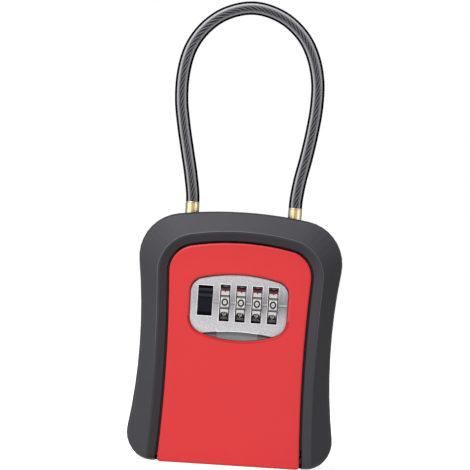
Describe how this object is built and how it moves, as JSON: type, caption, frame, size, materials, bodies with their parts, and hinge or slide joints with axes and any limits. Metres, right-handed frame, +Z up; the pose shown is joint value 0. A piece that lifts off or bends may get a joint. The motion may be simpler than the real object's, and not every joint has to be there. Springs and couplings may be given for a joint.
{
  "type": "combination key safe",
  "caption": "Hand-sized key safe with a waisted grey housing, a red drop-down door with a dial lock and release button, and a removable cable shackle.",
  "frame": {"origin": "bottom centre of the housing, on the surface that it stands on", "axes": "+X to the right seen from the front, +Y from the front to the back, +Z up"},
  "size_m": [0.0946, 0.04, 0.2146],
  "materials": {
    "case": "dark grey powder coat, matt",
    "door": "red paint, satin",
    "silver": "fine sparkle silver coat",
    "dials": "plated, with black sunk numbers",
    "button": "black, satin",
    "zinc": "as cast zinc",
    "steel": "zinc plated",
    "brass": "turned brass",
    "cable": "clear grey coating over twisted steel strands"
  },
  "bodies": {
    "housing": {"housing": "case", "back_cover": "case", "back_cover_screws": "steel", "hinge_pins": "steel", "strike_plate": "steel", "strike_screws": "steel", "shackle_cover": "zinc", "shackle_cover_screws": "steel", "catch_spring": "steel"},
    "catch": {"shackle_catch": "steel"},
    "shackle": {"cable": "cable", "ferrule_left": "brass", "ferrule_right": "brass"},
    "door": {"door_panel": "door", "escutcheon": "silver", "lock_chassis": "zinc", "lock_cover": "zinc", "lock_screws": "steel", "detent_spring": "steel", "latch_springs": "steel", "code_spring": "steel"},
    "latch": {"latch_plate": "steel", "open_button": "button", "button_screw": "steel"},
    "code_carriage": {"reset_lever": "brass", "spindle": "steel"},
    "sleeve_1": {"sleeve_1": "brass"},
    "dial_1": {"dial_1": "dials"},
    "sleeve_2": {"sleeve_2": "brass"},
    "dial_2": {"dial_2": "dials"},
    "sleeve_3": {"sleeve_3": "brass"},
    "dial_3": {"dial_3": "dials"},
    "sleeve_4": {"sleeve_4": "brass"},
    "dial_4": {"dial_4": "dials"}
  },
  "joints": [
    {"name": "door_hinge", "type": "hinge", "parent": "housing", "child": "door", "pos_m": [0, -0.0135, 0.0045], "axis": [1, 0, 0], "range_deg": [0, 90]},
    {"name": "button_slide", "type": "slide", "parent": "door", "child": "latch", "axis": [0, 0, -1], "range_m": [-0.0012, 0.0017], "stiffness_N_per_m": 200, "springref_m": -0.006, "deforming": ["latch_springs"]},
    {"name": "code_reset", "type": "slide", "parent": "door", "child": "code_carriage", "axis": [1, 0, 0], "range_m": [0, 0.0015], "stiffness_N_per_m": 200, "springref_m": -0.002, "deforming": ["code_spring"]},
    {"name": "shackle_lift", "type": "slide", "parent": "housing", "child": "shackle", "axis": [0, 0, 1], "range_m": [0, 0.024]},
    {"name": "shackle_release", "type": "slide", "parent": "housing", "child": "catch", "axis": [1, 0, 0], "range_m": [0, 0.003], "stiffness_N_per_m": 150, "springref_m": 0.006, "deforming": ["catch_spring"]},
    {"name": "dial_1_turn", "type": "hinge", "parent": "door", "child": "dial_1", "pos_m": [-0.0063, -0.0094, 0.0745], "axis": [1, 0, 0], "continuous": true},
    {"name": "dial_2_turn", "type": "hinge", "parent": "door", "child": "dial_2", "pos_m": [0.00103, -0.0094, 0.0745], "axis": [1, 0, 0], "continuous": true},
    {"name": "dial_3_turn", "type": "hinge", "parent": "door", "child": "dial_3", "pos_m": [0.00836, -0.0094, 0.0745], "axis": [1, 0, 0], "continuous": true},
    {"name": "dial_4_turn", "type": "hinge", "parent": "door", "child": "dial_4", "pos_m": [0.0157, -0.0094, 0.0745], "axis": [1, 0, 0], "continuous": true},
    {"name": "sleeve_1_slide", "type": "slide", "parent": "dial_1", "child": "sleeve_1", "axis": [1, 0, 0], "range_m": [0, 0.0015]},
    {"name": "sleeve_2_slide", "type": "slide", "parent": "dial_2", "child": "sleeve_2", "axis": [1, 0, 0], "range_m": [0, 0.0015]},
    {"name": "sleeve_3_slide", "type": "slide", "parent": "dial_3", "child": "sleeve_3", "axis": [1, 0, 0], "range_m": [0, 0.0015]},
    {"name": "sleeve_4_slide", "type": "slide", "parent": "dial_4", "child": "sleeve_4", "axis": [1, 0, 0], "range_m": [0, 0.0015]}
  ],
  "couplings": [
    {"joint": "sleeve_1_slide", "follows": "code_reset", "ratio": 1},
    {"joint": "sleeve_2_slide", "follows": "code_reset", "ratio": 1},
    {"joint": "sleeve_3_slide", "follows": "code_reset", "ratio": 1},
    {"joint": "sleeve_4_slide", "follows": "code_reset", "ratio": 1}
  ]
}
